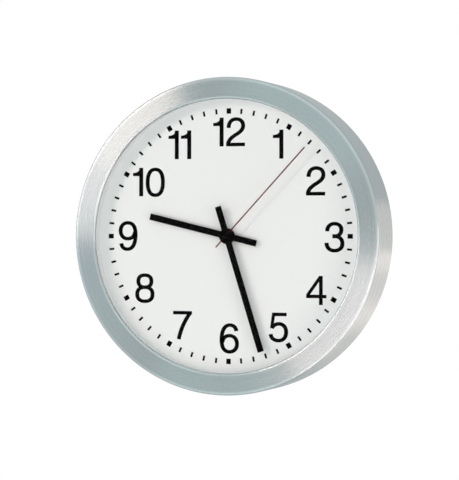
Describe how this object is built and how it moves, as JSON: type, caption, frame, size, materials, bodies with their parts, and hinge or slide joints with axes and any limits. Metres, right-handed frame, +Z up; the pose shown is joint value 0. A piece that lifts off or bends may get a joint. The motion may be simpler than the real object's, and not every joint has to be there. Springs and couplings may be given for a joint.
{
  "type": "radio-controlled wall clock",
  "caption": "Round wall clock: spun aluminium case, flat glass, white dial with black numerals, three hands on a radio-controlled quartz movement, ribbed back.",
  "frame": {"origin": "centre of the back plane, on the axis of the hands, where the rear edge of the case meets the wall", "axes": "+Z up, towards 12 o'clock; the dial faces -Y; +X to the right of the reader"},
  "size_m": [0.299, 0.0548, 0.299],
  "materials": {
    "brushed_aluminium": "spun and circularly brushed, clear anodised",
    "black_rubber": "soft matt",
    "clear_glass": "polished flat glass",
    "white_plastic": "fine matt moulding",
    "dial_white": "matt printed white",
    "grey_plastic": "fine spark-eroded texture",
    "zinc_steel": "bright zinc plated",
    "screw_steel": "zinc plated screw",
    "hand_black": "stamped sheet, matt black lacquer",
    "hand_red": "stamped sheet, red lacquer",
    "turned_brass": "turned, bright",
    "movement_black": "fine matt moulding",
    "wheel_plastic": "unfilled acetal",
    "magnet_dark": "ground dark",
    "stator_iron": "stamped soft iron",
    "copper_winding": "enamelled copper wire",
    "board_green": "solder mask",
    "potting_black": "glossy resin",
    "button_grey": "fine matt moulding",
    "battery_wrap": "plain printed sleeve"
  },
  "bodies": {
    "frame": {"case_ring": "brushed_aluminium", "lens_gasket": "black_rubber", "lens_glass": "clear_glass", "dial_flange": "white_plastic", "dial_plate": "dial_white", "back_cover": "grey_plastic", "ring_brackets": "zinc_steel", "cover_screws": "screw_steel", "hanger_plate": "zinc_steel", "hanger_screws": "screw_steel", "movement_front_case": "movement_black", "movement_rear_cover": "movement_black", "movement_screws": "screw_steel", "centre_bush": "turned_brass", "bush_washer": "zinc_steel", "bush_nut": "turned_brass", "minute_stator": "stator_iron", "seconds_stator": "stator_iron", "minute_coil": "copper_winding", "seconds_coil": "copper_winding", "train_bridge": "movement_black", "bridge_screws": "screw_steel", "circuit_board": "board_green", "chip_cover": "potting_black", "quartz_crystals": "zinc_steel", "switch_domes": "zinc_steel", "ferrite_rod": "magnet_dark", "antenna_coil": "copper_winding", "battery_cell": "battery_wrap", "positive_contact": "zinc_steel", "negative_contact": "zinc_steel", "battery_spring": "zinc_steel"},
    "minute_hand_set": {"minute_hand": "hand_black", "minute_wheel": "wheel_plastic"},
    "hour_hand_set": {"hour_hand": "hand_black", "hour_wheel": "wheel_plastic"},
    "second_hand_set": {"second_hand": "hand_red", "second_collet": "hand_black", "second_wheel": "wheel_plastic"},
    "motion_wheel_body": {"motion_wheel": "wheel_plastic"},
    "minute_third_body": {"minute_third_wheel": "wheel_plastic"},
    "minute_second_body": {"minute_second_wheel": "wheel_plastic"},
    "minute_rotor_body": {"minute_rotor": "magnet_dark"},
    "seconds_third_body": {"seconds_third_wheel": "wheel_plastic"},
    "seconds_rotor_body": {"seconds_rotor": "magnet_dark"},
    "set_button_body": {"set_button": "button_grey"},
    "receive_button_body": {"receive_button": "button_grey"},
    "reset_button_body": {"reset_button": "button_grey"}
  },
  "joints": [
    {"name": "minute_hand_turn", "type": "hinge", "parent": "frame", "child": "minute_hand_set", "pos_m": [0, 0, 0], "axis": [0, 1, 0], "continuous": true},
    {"name": "hour_hand_turn", "type": "hinge", "parent": "frame", "child": "hour_hand_set", "pos_m": [0, 0, 0], "axis": [0, 1, 0], "continuous": true},
    {"name": "motion_wheel_turn", "type": "hinge", "parent": "frame", "child": "motion_wheel_body", "pos_m": [0, 0, -0.0096], "axis": [0, 1, 0], "continuous": true},
    {"name": "minute_third_turn", "type": "hinge", "parent": "frame", "child": "minute_third_body", "pos_m": [-0.00902, 0, 0.00328], "axis": [0, 1, 0], "continuous": true},
    {"name": "minute_second_turn", "type": "hinge", "parent": "frame", "child": "minute_second_body", "pos_m": [-0.01038, 0, 0.011], "axis": [0, 1, 0], "continuous": true},
    {"name": "minute_rotor_turn", "type": "hinge", "parent": "frame", "child": "minute_rotor_body", "pos_m": [-0.0171, 0, 0.011], "axis": [0, 1, 0], "continuous": true},
    {"name": "second_hand_turn", "type": "hinge", "parent": "frame", "child": "second_hand_set", "pos_m": [0, 0, 0], "axis": [0, 1, 0], "continuous": true},
    {"name": "seconds_third_turn", "type": "hinge", "parent": "frame", "child": "seconds_third_body", "pos_m": [0.00849, 0, 0.0049], "axis": [0, 1, 0], "continuous": true},
    {"name": "seconds_rotor_turn", "type": "hinge", "parent": "frame", "child": "seconds_rotor_body", "pos_m": [0.0151, 0, 0.00373], "axis": [0, 1, 0], "continuous": true},
    {"name": "set_button_press", "type": "slide", "parent": "frame", "child": "set_button_body", "axis": [0, -1, 0], "range_m": [0, 0.0008], "stiffness_N_per_m": 1200, "springref_m": -0.0005},
    {"name": "receive_button_press", "type": "slide", "parent": "frame", "child": "receive_button_body", "axis": [0, -1, 0], "range_m": [0, 0.0008], "stiffness_N_per_m": 1200, "springref_m": -0.0005},
    {"name": "reset_button_press", "type": "slide", "parent": "frame", "child": "reset_button_body", "axis": [0, -1, 0], "range_m": [0, 0.0008], "stiffness_N_per_m": 1200, "springref_m": -0.0005}
  ],
  "couplings": [
    {"joint": "hour_hand_turn", "follows": "minute_hand_turn", "ratio": 0.083333},
    {"joint": "motion_wheel_turn", "follows": "minute_hand_turn", "ratio": -0.33333},
    {"joint": "minute_third_turn", "follows": "minute_hand_turn", "ratio": -3},
    {"joint": "minute_second_turn", "follows": "minute_hand_turn", "ratio": 18},
    {"joint": "minute_rotor_turn", "follows": "minute_hand_turn", "ratio": -90},
    {"joint": "seconds_third_turn", "follows": "second_hand_turn", "ratio": -6},
    {"joint": "seconds_rotor_turn", "follows": "second_hand_turn", "ratio": 30}
  ]
}
